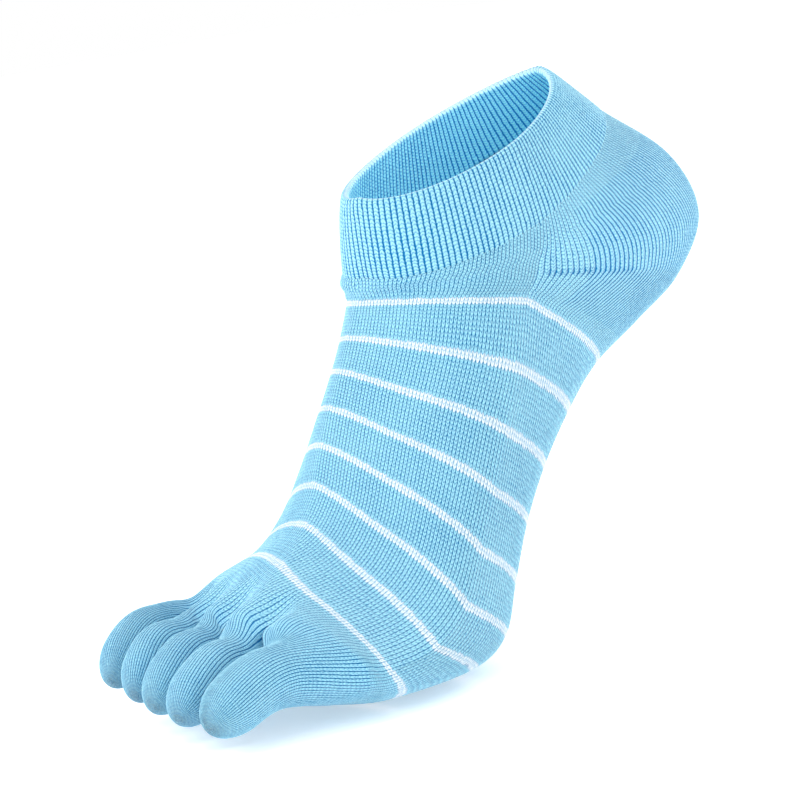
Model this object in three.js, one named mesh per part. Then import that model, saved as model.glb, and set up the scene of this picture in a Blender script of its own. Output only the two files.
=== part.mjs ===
// A low-cut toe sock for a right foot, stretched on a foot that stands on tiptoe.
// Millimetres. +Z is up, the toes point along -Y, and the inner side of the foot is +X.
// The origin is the middle of the ankle opening.
import * as THREE from 'three';

// Driving sizes of the worn sock.
const standLength = 225; // along the floor, the length that all shares ahead are taken of
const standHeight = 142; // from the floor to the back of the rim
const ballWidth = 88.5; // across the ball of the foot
const knitThickness = 1.4; // one layer of plain knit
const cuffThickness = 2; // the cuff is knitted double
const cuffSwell = 0.5; // how far the middle of the cuff stands out
const seamGap = 0.4; // between two pieces that are knitted together
const rootGap = 0.7; // between the webs and the toes' roots
const toeGap = 0.6; // between two neighbouring toes
const cleftDepth = 4; // how far the back of the foot sinks between two toes
const cleftSpread = 4; // half the width of that furrow

// How finely the solids are cut into facets.
const ringSides = 48;
const toeSides = 20;
const stepsPerSection = 2;
const traceSteps = 24; // points on a quarter, before they are spread evenly
const rootFineness = 4; // how many more points the toes' roots are traced with
const probe = 0.02; // share of a section, for finding directions on the surface

// Turns rows of values into objects whose fields are the named columns.
function table(columns, rows) {
  return rows.map((row) => Object.fromEntries(columns.map((column, k) => [column, row[k]])));
}

// A section follows one round of the knit. top is on the ridge of the foot, fold is at its side and
// sole is behind the heel or under the sole. Ahead is a share of standLength from the middle of the
// ball, up a share of standHeight from the floor, and inner, outer and crown are shares of ballWidth
// from the foot's middle line. The three round values are powers: 2 is an ellipse, more is squarer.
// turn is how far the inner side is ahead of the outer one. sweep is how much further the round falls
// back towards its outer side, as the line of the toes' roots does, along a curve of the power
// sweepPower. soft tells a round that runs smoothly past its fold, at 1, from one that is bent
// there, at 0.
const sections = table(
  ['name', 'topAhead', 'topUp', 'foldAhead', 'foldUp', 'outerLift', 'soleAhead', 'soleUp',
    'inner', 'outer', 'crown', 'innerRound', 'outerRound', 'soleRound', 'turn', 'sweep', 'soft'],
  [
    ['rim', -0.165, 0.83, -0.335, 0.885, 0.015, -0.498, 1,
      0.24, -0.24, 0, 2, 2, 1.75, 0, 0, 1],
    ['cuff_foot', -0.158, 0.695, -0.33, 0.745, 0.02, -0.57, 0.915,
      0.315, -0.255, 0, 2, 1.9, 2, 0, 0, 0.5],
    ['heel_top', -0.157, 0.683, -0.322, 0.705, 0, -0.668, 0.808,
      0.323, -0.26, -0.01, 2, 1.9, 2.5, 0, 0, 0.25],
    ['heel_back', -0.156, 0.674, -0.311, 0.678, 0, -0.698, 0.683,
      0.323, -0.268, -0.02, 2, 1.8, 2.8, 0, 0, 0.1],
    ['heel_under', -0.156, 0.666, -0.301, 0.656, 0, -0.638, 0.573,
      0.33, -0.27, -0.025, 1.95, 1.7, 2.7, 0, 0, 0],
    ['heel_front', -0.156, 0.658, -0.29, 0.638, 0, -0.549, 0.503,
      0.333, -0.27, -0.03, 1.95, 1.6, 2.6, 0, 0, 0],
    ['stripe_1', -0.156, 0.648, -0.277, 0.614, 0.01, -0.462, 0.44,
      0.333, -0.27, -0.035, 1.9, 1.5, 2.5, 0, 0, 0],
    ['stripe_2', -0.14, 0.585, -0.25, 0.497, 0.02, -0.388, 0.365,
      0.337, -0.28, -0.05, 1.65, 1.5, 2.5, 0, 0, 0],
    ['stripe_3', -0.119, 0.523, -0.216, 0.398, 0.05, -0.33, 0.28,
      0.348, -0.3, -0.06, 1.55, 1.45, 2.5, 0.01, 0, 0],
    ['stripe_4', -0.098, 0.462, -0.18, 0.304, 0.07, -0.284, 0.193,
      0.37, -0.32, -0.07, 1.5, 1.45, 2.5, 0.02, 0, 0],
    ['stripe_5', -0.078, 0.4, -0.14, 0.215, 0.08, -0.247, 0.1,
      0.397, -0.35, -0.07, 1.45, 1.45, 2.6, 0.03, 0, 0],
    ['stripe_6', -0.055, 0.335, -0.095, 0.138, 0.09, -0.21, 0.025,
      0.446, -0.39, -0.06, 1.35, 1.45, 2.8, 0.05, 0, 0],
    ['stripe_7', -0.016, 0.277, -0.03, 0.092, 0.09, -0.137, 0,
      0.49, -0.445, -0.03, 1.25, 1.55, 3, 0.07, 0.02, 0],
    ['stripe_8', 0.055, 0.236, 0.052, 0.084, 0.08, 0.008, 0,
      0.5, -0.5, 0.03, 1.2, 1.9, 3, 0.08, 0.06, 0],
    ['web', 0.122, 0.2, 0.095, 0.086, 0.07, 0.085, 0.014,
      0.46, -0.49, 0.08, 1.7, 2.4, 3, 0.02, 0.115, 0],
  ],
);
const sweepPower = 1.5;
const rimRow = 0;
const cuffFootRow = 1;
const webRow = sections.length - 1;

// Steps down the cuff, from its rim at 0 to its lower edge at 1, close together where it rounds off.
const cuffSteps = [0, 0.06, 0.3, 0.7, 0.94, 1];

// The heel pocket reaches from just under the cuff to just behind the first stripe, and forward at
// both sides to the corner of its line of holes. Its corners are counted in steps and sides.
const pocketFirstStep = 1;
const pocketLastStep = 9;
const pocketFirstSide = ringSides / 2 + 2;
const pocketLastSide = ringSides - 2;

// Where the webs between the toes stand, as shares of ballWidth, from big toe to little toe.
const webSides = [0.156, -0.029, -0.202, -0.344];

// A toe's tube runs from the webs over its knuckle to its tip. Ahead, up and side are shares as above,
// and half widths and half depths are shares of ballWidth.
const toes = table(
  ['name', 'knuckleAhead', 'knuckleSide', 'knuckleUp', 'tipAhead', 'tipSide', 'tipUp',
    'knuckleWidth', 'knuckleDepth', 'tipWidth', 'tipDepth'],
  [
    ['big_toe', 0.187, 0.272, 0.096, 0.276, 0.276, 0.05, 0.094, 0.087, 0.08, 0.079],
    ['second_toe', 0.18, 0.077, 0.107, 0.26, 0.118, 0.056, 0.075, 0.081, 0.071, 0.072],
    ['third_toe', 0.156, -0.09, 0.117, 0.237, -0.037, 0.064, 0.07, 0.079, 0.066, 0.07],
    ['fourth_toe', 0.137, -0.248, 0.125, 0.208, -0.184, 0.07, 0.065, 0.077, 0.062, 0.068],
    ['little_toe', 0.1, -0.41, 0.137, 0.183, -0.344, 0.084, 0.066, 0.075, 0.064, 0.068],
  ],
);
const toeSteps = [0, 0.1, 0.22, 0.36, 0.5, 0.64, 0.76, 0.86, 0.93, 0.98];
const rootBlend = 0.4; // where a toe has its own round section
const knuckleStep = 0.5; // where a toe has its knuckle's width and depth
const capStart = 0.74; // where a toe begins to round off

// Places a point given by its way ahead, its height and its side, in the frame of the part.
const openingAhead = (sections[rimRow].topAhead + sections[rimRow].soleAhead) / 2 * standLength;
const openingUp = (sections[rimRow].topUp + sections[rimRow].soleUp) / 2 * standHeight;
const openingSide = (sections[rimRow].inner + sections[rimRow].outer) / 2 * ballWidth;
function place(side, ahead, up) {
  return new THREE.Vector3(
    side * ballWidth - openingSide,
    openingAhead - ahead * standLength,
    up * standHeight - openingUp,
  );
}

// A smooth curve through the values a, b, c, d, from b at 0 to c at 1.
function between(a, b, c, d, t) {
  const linear = c - a;
  const square = 2 * a - 5 * b + 4 * c - d;
  const cube = 3 * b - a - 3 * c + d;
  return (2 * b + linear * t + square * t ** 2 + cube * t ** 3) / 2;
}

// Reads a list of objects at any position between its entries.
function readAt(list, position) {
  const k = Math.min(Math.floor(position), list.length - 2);
  const t = position - k;
  const value = {};
  for (const field of Object.keys(list[0]).filter((name) => name !== 'name')) {
    const b = list[k][field];
    const c = list[k + 1][field];
    const a = k > 0 ? list[k - 1][field] : 2 * b - c;
    const d = k + 2 < list.length ? list[k + 2][field] : 2 * c - b;
    value[field] = between(a, b, c, d, t);
  }
  return value;
}

// One coordinate on the way from the fold to the end of a quarter, bent or smooth at the fold.
function mixed(section, bend, end, middle, field, across, along) {
  const bent = THREE.MathUtils.lerp(bend[field], end[field], along);
  const smooth = middle[field] + (end[field] - middle[field]) * along
    + (bend[field] - middle[field]) * across;
  return THREE.MathUtils.lerp(bent, smooth, section.soft);
}

// A quarter of a section, from the fold at its side to the ridge or the sole.
function quarter(section, side, lift, end, endSide, power) {
  const middle = {
    ahead: (section.topAhead + section.soleAhead) / 2,
    up: (section.topUp + section.soleUp) / 2,
  };
  const points = [];
  for (let k = 0; k <= traceSteps; k += 1) {
    const angle = k / traceSteps * Math.PI / 2;
    const across = Math.cos(angle) ** (2 / power);
    const along = Math.sin(angle) ** (2 / power);
    const x = endSide + (side - endSide) * across;
    const bend = { ahead: section.foldAhead, up: section.foldUp + lift };
    const ahead = mixed(section, bend, end, middle, 'ahead', across, along);
    const up = mixed(section, bend, end, middle, 'up', across, along);
    const outwards = Math.max(section.crown - x, 0) / (section.crown - section.outer);
    const turned = section.turn * (x - section.crown) / (section.inner - section.outer);
    points.push(place(x, ahead + turned - section.sweep * outwards ** sweepPower, up));
  }
  return points;
}

// Spreads a number of points evenly along a path, from its start and without its end.
function spread(path, count) {
  const lengths = [0];
  for (let k = 1; k < path.length; k += 1) lengths.push(lengths[k - 1] + path[k].distanceTo(path[k - 1]));
  const total = lengths[lengths.length - 1];
  const points = [];
  let k = 1;
  for (let n = 0; n < count; n += 1) {
    const wanted = n / count * total;
    while (k < path.length - 1 && lengths[k] < wanted) k += 1;
    const t = (wanted - lengths[k - 1]) / (lengths[k] - lengths[k - 1]);
    points.push(path[k - 1].clone().lerp(path[k], Math.min(t, 1)));
  }
  return points;
}

// One round of the knit: over the ridge from the inner to the outer side, and back under the sole.
function round(position, sides = ringSides) {
  const s = readAt(sections, position);
  const ridge = { ahead: s.topAhead, up: s.topUp };
  const sole = { ahead: s.soleAhead, up: s.soleUp };
  const over = [
    ...quarter(s, s.inner, 0, ridge, s.crown, s.innerRound),
    ...quarter(s, s.outer, s.outerLift, ridge, s.crown, s.outerRound).reverse().slice(1),
  ];
  const under = [
    ...quarter(s, s.outer, s.outerLift, sole, 0, s.soleRound),
    ...quarter(s, s.inner, 0, sole, 0, s.soleRound).reverse().slice(1),
  ];
  const points = [...spread(over, sides / 2), ...spread(under, sides / 2)];
  return furrow(points, position);
}

// Sinks the ridge towards the sole between two toes, fading out over the last section.
function furrow(points, position) {
  const fade = THREE.MathUtils.smoothstep(position, webRow - 1, webRow);
  const half = points.length / 2;
  return points.map((point, k) => {
    const side = (point.x + openingSide) / ballWidth;
    const sink = webSides.reduce((sum, web) => {
      const distance = (side - web) * ballWidth / cleftSpread;
      return sum + Math.exp(-(distance ** 2));
    }, 0);
    const over = k > 0 && k < half;
    return over ? point.clone().setZ(point.z - fade * cleftDepth * sink) : point;
  });
}

// The surface at one position: its points, the directions towards the toes, and those outwards.
// The last round has one common direction towards the toes, so that their roots lie flat against it.
function surface(position) {
  const low = Math.max(position - probe, rimRow);
  const high = Math.min(position + probe, webRow);
  const points = round(position);
  const before = round(low);
  const after = round(high);
  let along = points.map((_, k) => after[k].clone().sub(before[k]).normalize());
  if (position === webRow) {
    const mean = along.reduce((sum, step) => sum.add(step), new THREE.Vector3()).normalize();
    along = points.map(() => mean);
  }
  const outward = points.map((_, k) => {
    const next = points[(k + 1) % points.length];
    const last = points[(k + points.length - 1) % points.length];
    return next.clone().sub(last).cross(along[k]).normalize();
  });
  return { points, along, outward };
}

// Moves a whole round towards the toes and into the sock.
function moved({ points, along, outward }, shift, depth) {
  return points.map((point, k) => point.clone().addScaledVector(along[k], shift)
    .addScaledVector(outward[k], -depth));
}

// A closed wall between an outer and an inner grid of points. A row of one point is a closed tip, and
// cells that keep() refuses are left open. Every open edge gets its own narrow face.
function wall(outer, inner, closedRound, keep = () => true) {
  const positions = [];
  const add = (point) => positions.push(...point.toArray()) / 3 - 1;
  const outerIds = outer.map((row) => row.map(add));
  const innerIds = inner.map((row) => row.map(add));
  const columns = Math.max(...outer.map((row) => row.length));
  const cells = closedRound ? columns : columns - 1;
  const index = [];
  const id = (ids, i, j) => ids[i][ids[i].length === 1 ? 0 : j % columns];
  const triangle = (a, b, c) => {
    if (a !== b && b !== c && c !== a) index.push(a, b, c);
  };
  const quad = (a, b, c, d) => {
    triangle(a, b, c);
    triangle(a, c, d);
  };
  const isThere = (i, j) => {
    if (i < 0 || i >= outer.length - 1) return false;
    if (!closedRound && (j < 0 || j >= cells)) return false;
    return keep(i, (j + cells) % cells);
  };
  const corners = (ids, i, j) => [
    id(ids, i, j),
    id(ids, i, j + 1),
    id(ids, i + 1, j + 1),
    id(ids, i + 1, j),
  ];
  const tipped = (i) => outer[i].length === 1;
  for (let i = 0; i < outer.length - 1; i += 1) {
    for (let j = 0; j < cells; j += 1) {
      if (!isThere(i, j)) continue;
      const out = corners(outerIds, i, j);
      const back = corners(innerIds, i, j);
      quad(out[0], out[1], out[2], out[3]);
      quad(back[3], back[2], back[1], back[0]);
      if (!isThere(i - 1, j) && !tipped(i)) quad(out[1], out[0], back[0], back[1]);
      if (!isThere(i + 1, j) && !tipped(i + 1)) quad(out[3], out[2], back[2], back[3]);
      if (!isThere(i, j - 1)) quad(out[0], out[3], back[3], back[0]);
      if (!isThere(i, j + 1)) quad(out[2], out[1], back[1], back[2]);
    }
  }
  const geometry = new THREE.BufferGeometry();
  geometry.setAttribute('position', new THREE.Float32BufferAttribute(positions, 3));
  geometry.setIndex(index);
  return geometry;
}

// The cuff, from the rolled rim to its lower edge. It swells a little between the two.
function cuffGeometry() {
  const rounds = cuffSteps.map((step) => ({
    surface: surface(THREE.MathUtils.lerp(rimRow, cuffFootRow, step)),
    swell: cuffSwell * Math.sqrt(Math.sin(step * Math.PI)),
    shift: step === 1 ? -seamGap / 2 : 0,
  }));
  const outer = rounds.map((r) => moved(r.surface, r.shift, -r.swell));
  const inner = rounds.map((r) => moved(r.surface, r.shift, cuffThickness - cuffSwell));
  return wall(outer, inner, true);
}

// The rounds of the plain knit, from the cuff to the webs.
const tubeSteps = (webRow - cuffFootRow) * stepsPerSection;
const tubeRounds = [];
for (let k = 0; k <= tubeSteps; k += 1) tubeRounds.push(surface(cuffFootRow + k / stepsPerSection));

// The foot tube, with a window where the heel pocket is knitted in.
function footTubeGeometry() {
  const isPocket = (i, j) => i >= pocketFirstStep && i < pocketLastStep
    && j >= pocketFirstSide && j < pocketLastSide;
  const shifts = tubeRounds.map((_, k) => (k === 0 ? seamGap / 2 : 0));
  const outer = tubeRounds.map((r, k) => moved(r, shifts[k], 0));
  const inner = tubeRounds.map((r, k) => moved(r, shifts[k], knitThickness));
  return wall(outer, inner, true, (i, j) => !isPocket(i, j));
}

// The heel pocket fills the window that the foot tube leaves, a seam's gap smaller all round.
function heelPocketGeometry() {
  const layer = (depth) => {
    const grid = [];
    for (let i = pocketFirstStep; i <= pocketLastStep; i += 1) {
      const shift = i === pocketFirstStep ? seamGap : i === pocketLastStep ? -seamGap : 0;
      grid.push(moved(tubeRounds[i], shift, depth).slice(pocketFirstSide, pocketLastSide + 1));
    }
    return grid.map((row) => {
      const narrowed = row.map((point) => point.clone());
      const last = row.length - 1;
      narrowed[0].addScaledVector(row[1].clone().sub(row[0]).normalize(), seamGap);
      narrowed[last].addScaledVector(row[last - 1].clone().sub(row[last]).normalize(), seamGap);
      return narrowed;
    });
  };
  return wall(layer(0), layer(knitThickness), false);
}

// The closed root of a toe: the stretch of the last round between its two webs, over and under.
function toeRoot(innerWeb, outerWeb) {
  const webRound = round(webRow, ringSides * rootFineness);
  const half = webRound.length / 2;
  const over = webRound.slice(0, half + 1);
  const under = [...webRound.slice(half), webRound[0]].reverse();
  const stretch = (points) => {
    const start = innerWeb === null ? null : cross(points, innerWeb - toeGap / 2);
    const end = outerWeb === null ? null : cross(points, outerWeb + toeGap / 2);
    const kept = points.filter((point) => (!start || point.x < start.x) && (!end || point.x > end.x));
    return [...(start ? [start] : []), ...kept, ...(end ? [end] : [])];
  };
  const path = [...stretch(over), ...stretch(under).reverse()];
  path.push(path[0].clone());
  const even = spread(path, toeSides * rootFineness);
  const middle = (even[0].z + stretch(under)[0].z) / 2;
  const first = innerWeb === null ? 0 : even.findLastIndex((point) => point.z < middle) + 1;
  const turned = [...even.slice(first), ...even.slice(0, first)];
  return spread([...turned, turned[0]], toeSides);
}

// The point where a path that runs from the inner to the outer side passes a given place.
function cross(points, side) {
  const k = points.findIndex((point) => point.x < side);
  const t = (points[k - 1].x - side) / (points[k - 1].x - points[k].x);
  return points[k - 1].clone().lerp(points[k], t);
}

// A toe's tube, round by round from its root, and closed at its tip.
function toeGeometry(toe, k) {
  const webX = webSides.map((web) => place(web, 0, 0).x);
  const root = toeRoot(k === 0 ? null : webX[k - 1], k === toes.length - 1 ? null : webX[k]);
  const centre = root.reduce((sum, point) => sum.add(point), new THREE.Vector3()).divideScalar(root.length);
  const knuckle = place(toe.knuckleSide, toe.knuckleAhead, toe.knuckleUp);
  const tip = place(toe.tipSide, toe.tipAhead, toe.tipUp);
  const path = new THREE.CatmullRomCurve3([centre, knuckle, tip], false, 'catmullrom');
  const ring = (t) => {
    const middle = path.getPoint(t);
    const ahead = path.getTangent(t);
    const sideways = new THREE.Vector3(-ahead.y, ahead.x, 0).normalize();
    const upward = new THREE.Vector3().crossVectors(ahead, sideways);
    const late = Math.max(t - knuckleStep, 0) / (1 - knuckleStep);
    const cap = Math.sqrt(1 - (Math.max(t - capStart, 0) / (1 - capStart)) ** 2);
    const halfWidth = THREE.MathUtils.lerp(toe.knuckleWidth, toe.tipWidth, late) * ballWidth * cap;
    const halfDepth = THREE.MathUtils.lerp(toe.knuckleDepth, toe.tipDepth, late) * ballWidth * cap;
    const blend = THREE.MathUtils.smoothstep(t, 0, rootBlend);
    return root.map((point, n) => {
      const angle = n / toeSides * 2 * Math.PI;
      const own = middle.clone().addScaledVector(sideways, Math.cos(angle) * halfWidth)
        .addScaledVector(upward, Math.sin(angle) * halfDepth);
      const carried = point.clone().add(middle).sub(centre);
      return carried.lerp(own, blend);
    });
  };
  const forward = tubeRounds[tubeSteps].along[0];
  const rows = toeSteps.map((t) => ring(t));
  rows[0].forEach((point) => point.addScaledVector(forward, rootGap));
  const inner = rows.map((row, i) => row.map((point, n) => {
    const next = row[(n + 1) % toeSides];
    const last = row[(n + toeSides - 1) % toeSides];
    const tapers = toeSteps[i] > capStart;
    const along = tapers ? point.clone().sub(rows[i - 1][n]) : path.getTangent(toeSteps[i]);
    const outward = next.clone().sub(last).cross(i === 0 ? forward : along).normalize();
    return point.clone().addScaledVector(outward, -knitThickness);
  }));
  const inside = tip.clone().addScaledVector(path.getTangent(1), -knitThickness);
  return wall([...rows, [tip]], [...inner, [inside]], true);
}

// The knit is one yarn throughout, so every piece has its own material of the same pale blue.
function knit(name, geometry) {
  const material = new THREE.MeshStandardMaterial({ color: 0x8fcfeb, roughness: 0.95, metalness: 0 });
  const mesh = new THREE.Mesh(geometry, material);
  mesh.name = name;
  return mesh;
}

const group = new THREE.Group();
group.add(knit('cuff', cuffGeometry()));
group.add(knit('foot_tube', footTubeGeometry()));
group.add(knit('heel_pocket', heelPocketGeometry()));
toes.forEach((toe, k) => group.add(knit(toe.name, toeGeometry(toe, k))));

export default group;
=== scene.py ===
# %% [markdown]
# # A knitted toe sock
# The object is one low-cut toe sock for a right foot, held in the form of a foot that stands on tiptoe.
# On the real sock one yarn loops round and round. Each round of loops is a course, and each upright
# column of loops is a wale. The shape comes from the rounds, so this file builds every piece from
# rounds too: a surface is a function of the place along the foot and of the wale.
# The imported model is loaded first. It stays as it is, and every piece below stands for one of its nodes.

# %% Load the measured model and keep its box
import math

import bpy
import numpy as np
from mathutils import Matrix, Vector


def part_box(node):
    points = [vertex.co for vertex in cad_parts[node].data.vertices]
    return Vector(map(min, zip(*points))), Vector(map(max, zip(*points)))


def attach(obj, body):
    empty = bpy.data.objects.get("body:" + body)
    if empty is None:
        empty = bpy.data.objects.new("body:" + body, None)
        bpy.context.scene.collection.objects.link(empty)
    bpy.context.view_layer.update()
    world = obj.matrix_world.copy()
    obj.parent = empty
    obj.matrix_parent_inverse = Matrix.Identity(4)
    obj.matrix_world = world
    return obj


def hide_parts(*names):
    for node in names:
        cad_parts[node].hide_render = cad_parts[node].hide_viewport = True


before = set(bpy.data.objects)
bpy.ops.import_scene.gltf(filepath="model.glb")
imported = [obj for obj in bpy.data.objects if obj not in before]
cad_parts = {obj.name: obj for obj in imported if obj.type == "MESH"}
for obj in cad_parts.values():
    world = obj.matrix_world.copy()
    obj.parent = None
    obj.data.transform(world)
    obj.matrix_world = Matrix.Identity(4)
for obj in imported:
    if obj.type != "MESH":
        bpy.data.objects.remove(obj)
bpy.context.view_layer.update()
MM = 0.001
print("nodes:", sorted(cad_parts))

# %% [markdown]
# ## The camera
# A catalogue photo is taken from far away with a long lens, so that near and far parts keep their
# proportions. The camera is made first, because it shows what has to look right. It looks at the
# instep from the inner side of the toes, a little from above, and the picture is turned by a few
# degrees, as if the camera were tilted on its stand.

# %% The camera
# The lens and the sensor are in millimetres and the distance is in metres.
CAMERA_AZIMUTH = math.radians(44)
CAMERA_ELEVATION = math.radians(7)
CAMERA_ROLL = math.radians(8)
CAMERA_DISTANCE = 1.144
CAMERA_TARGET = Vector((15.7, -48.3, -60.9)) * MM
CAMERA_LENS = 207.9
SENSOR = 36


def make_camera():
    """Puts the camera at target + back * distance, and turns it by the roll about its line of sight."""
    flat = math.cos(CAMERA_ELEVATION)
    back = Vector((
        math.sin(CAMERA_AZIMUTH) * flat,
        -math.cos(CAMERA_AZIMUTH) * flat,
        math.sin(CAMERA_ELEVATION),
    ))
    level = Vector((math.cos(CAMERA_AZIMUTH), math.sin(CAMERA_AZIMUTH), 0))
    upright = back.cross(level)
    right = level * math.cos(CAMERA_ROLL) - upright * math.sin(CAMERA_ROLL)
    up = level * math.sin(CAMERA_ROLL) + upright * math.cos(CAMERA_ROLL)
    camera = bpy.data.objects.new("camera", bpy.data.cameras.new("camera"))
    camera.data.lens = CAMERA_LENS
    camera.data.sensor_width = SENSOR
    place = CAMERA_TARGET + back * CAMERA_DISTANCE
    camera.matrix_world = Matrix((
        (right.x, up.x, back.x, place.x),
        (right.y, up.y, back.y, place.y),
        (right.z, up.z, back.z, place.z),
        (0, 0, 0, 1),
    ))
    bpy.context.collection.objects.link(camera)
    bpy.context.scene.camera = camera
    return camera


camera = make_camera()
print("camera at", [round(value, 3) for value in camera.matrix_world.translation])

# %% [markdown]
# ## The rounds of the knit
# A sock could be sculpted, or a foot could be shrink-wrapped. Here the rounds themselves are written
# down, because the stitches follow them: a table holds one row for each section from the rim to the
# webs between the toes. The stripes lie on eight of these sections, one stripe on each.
# All lengths are shares of three sizes, the length and the height of the standing foot and the width
# of its ball, as in the measured model. The zero point is the middle of the ankle opening.
# In a row, top lies on the ridge of the foot, fold at its side, and sole behind the heel or below the
# foot. The round values are powers: 2 is an ellipse and more is squarer. The crown is the ridge's place
# across the foot, turn and sweep swing a round's inner side ahead and its outer side back, and soft
# makes a round of the cuff one whole ellipse, as the leg is there.

# %% The sizes and the table of sections
STAND_LENGTH = 225 * MM
STAND_HEIGHT = 142 * MM
BALL_WIDTH = 88.5 * MM

SECTION_COLUMNS = (
    "top_ahead", "top_up", "fold_ahead", "fold_up", "outer_lift", "sole_ahead", "sole_up",
    "inner", "outer", "crown", "inner_round", "outer_round", "sole_round", "turn", "sweep", "soft",
)
SECTIONS = {
    "rim": (-0.165, 0.83, -0.335, 0.885, 0.015, -0.498, 1,
        0.24, -0.24, 0, 2, 2, 1.75, 0, 0, 1),
    "cuff_foot": (-0.158, 0.695, -0.33, 0.745, 0.02, -0.57, 0.915,
        0.315, -0.255, 0, 2, 1.9, 2, 0, 0, 0.5),
    "heel_top": (-0.157, 0.683, -0.322, 0.705, 0, -0.668, 0.808,
        0.323, -0.26, -0.01, 2, 1.9, 2.5, 0, 0, 0.25),
    "heel_back": (-0.156, 0.674, -0.311, 0.678, 0, -0.698, 0.683,
        0.323, -0.268, -0.02, 2, 1.8, 2.8, 0, 0, 0.1),
    "heel_under": (-0.156, 0.666, -0.301, 0.656, 0, -0.638, 0.573,
        0.33, -0.27, -0.025, 1.95, 1.7, 2.7, 0, 0, 0),
    "heel_front": (-0.156, 0.658, -0.29, 0.638, 0, -0.549, 0.503,
        0.333, -0.27, -0.03, 1.95, 1.6, 2.6, 0, 0, 0),
    "stripe_1": (-0.156, 0.648, -0.277, 0.614, 0.01, -0.462, 0.44,
        0.333, -0.27, -0.035, 1.9, 1.5, 2.5, 0, 0, 0),
    "stripe_2": (-0.14, 0.585, -0.25, 0.497, 0.02, -0.388, 0.365,
        0.337, -0.28, -0.05, 1.65, 1.5, 2.5, 0, 0, 0),
    "stripe_3": (-0.119, 0.523, -0.216, 0.398, 0.05, -0.33, 0.28,
        0.348, -0.3, -0.06, 1.55, 1.45, 2.5, 0.01, 0, 0),
    "stripe_4": (-0.098, 0.462, -0.18, 0.304, 0.07, -0.284, 0.193,
        0.37, -0.32, -0.07, 1.5, 1.45, 2.5, 0.02, 0, 0),
    "stripe_5": (-0.078, 0.4, -0.14, 0.215, 0.08, -0.247, 0.1,
        0.397, -0.35, -0.07, 1.45, 1.45, 2.6, 0.03, 0, 0),
    "stripe_6": (-0.055, 0.335, -0.095, 0.138, 0.09, -0.21, 0.025,
        0.446, -0.39, -0.06, 1.35, 1.45, 2.8, 0.05, 0, 0),
    "stripe_7": (-0.016, 0.277, -0.03, 0.092, 0.09, -0.137, 0,
        0.49, -0.445, -0.03, 1.25, 1.55, 3, 0.07, 0.02, 0),
    "stripe_8": (0.055, 0.236, 0.052, 0.084, 0.08, 0.008, 0,
        0.5, -0.5, 0.03, 1.2, 1.9, 3, 0.08, 0.06, 0),
    "web": (0.122, 0.2, 0.095, 0.086, 0.07, 0.085, 0.014,
        0.46, -0.49, 0.08, 1.7, 2.4, 3, 0.02, 0.115, 0),
}
NAMES = list(SECTIONS)
RIM = NAMES.index("rim")
CUFF_FOOT = NAMES.index("cuff_foot")
FIRST_STRIPE = NAMES.index("stripe_1")
LAST_STRIPE = NAMES.index("stripe_8")
WEB = NAMES.index("web")
SWEEP_POWER = 1.5
print(len(SECTIONS), "sections, from", NAMES[0], "to", NAMES[-1])

# %% [markdown]
# ## Reading between the sections
# A smooth curve through the rows, a Catmull-Rom curve, gives the section at any position between two
# of them. It works on whole arrays: all positions are read at once. The rows under the cuff lie close
# together at the shin, and one curve through them all would swing back there and fold the knit. So the
# cuff and the knit below it are read as two curves that meet.

# %% Sections at any position
SECTION_TABLE = np.array(list(SECTIONS.values()), dtype=float)


def between_rows(rows, position):
    """Reads a table at positions between its rows: with a, b, c, d the four rows around a place and t the
    way from b to c, (2b + (c - a) t + (2a - 5b + 4c - d) t^2 + (3b - a - 3c + d) t^3) / 2."""
    first = 2 * rows[:1] - rows[1:2]
    last = 2 * rows[-1:] - rows[-2:-1]
    padded = np.concatenate([first, rows, last])
    k = np.clip(np.floor(position).astype(int), 0, len(rows) - 2)
    t = (position - k)[:, None]
    a, b, c, d = padded[k], padded[k + 1], padded[k + 2], padded[k + 3]
    return (2 * b + (c - a) * t + (2 * a - 5 * b + 4 * c - d) * t**2 + (3 * b - a - 3 * c + d) * t**3) / 2


def sections_at(position):
    """The named values of the sections at the given positions, each as a column, one row a position."""
    cuff_values = between_rows(SECTION_TABLE, position)
    knit_values = between_rows(SECTION_TABLE[CUFF_FOOT:], position - CUFF_FOOT)
    values = np.where(position[:, None] < CUFF_FOOT, cuff_values, knit_values)
    return {name: values[:, k, None] for k, name in enumerate(SECTION_COLUMNS)}


rim = {name: SECTION_TABLE[RIM, k] for k, name in enumerate(SECTION_COLUMNS)}
ORIGIN = np.array([
    (rim["inner"] + rim["outer"]) / 2 * BALL_WIDTH,
    (rim["top_ahead"] + rim["sole_ahead"]) / 2 * STAND_LENGTH,
    (rim["top_up"] + rim["sole_up"]) / 2 * STAND_HEIGHT,
])
FLOOR = -ORIGIN[2]


def placed(side, ahead, up):
    """Turns shares of the width, length and height into points: toes towards -Y, inner side towards +X."""
    x = side * BALL_WIDTH - ORIGIN[0]
    y = ORIGIN[1] - ahead * STAND_LENGTH
    z = up * STAND_HEIGHT - ORIGIN[2]
    return np.stack(np.broadcast_arrays(x, y, z), axis=-1)


print("floor at", round(FLOOR / MM, 1), "mm")

# %% [markdown]
# ## One round
# A round is bent at both sides of the foot, at its folds: its front half lies over the ridge of the
# foot and its other half behind the heel or under the sole. Each half is two quarters of a rounded
# curve, a superellipse, whose power tells how full it is. The points of a round are then spread evenly
# over each half, so that every wale gets the same width.

# %% Quarters, halves and rounds
QUARTER_STEPS = 48


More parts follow.
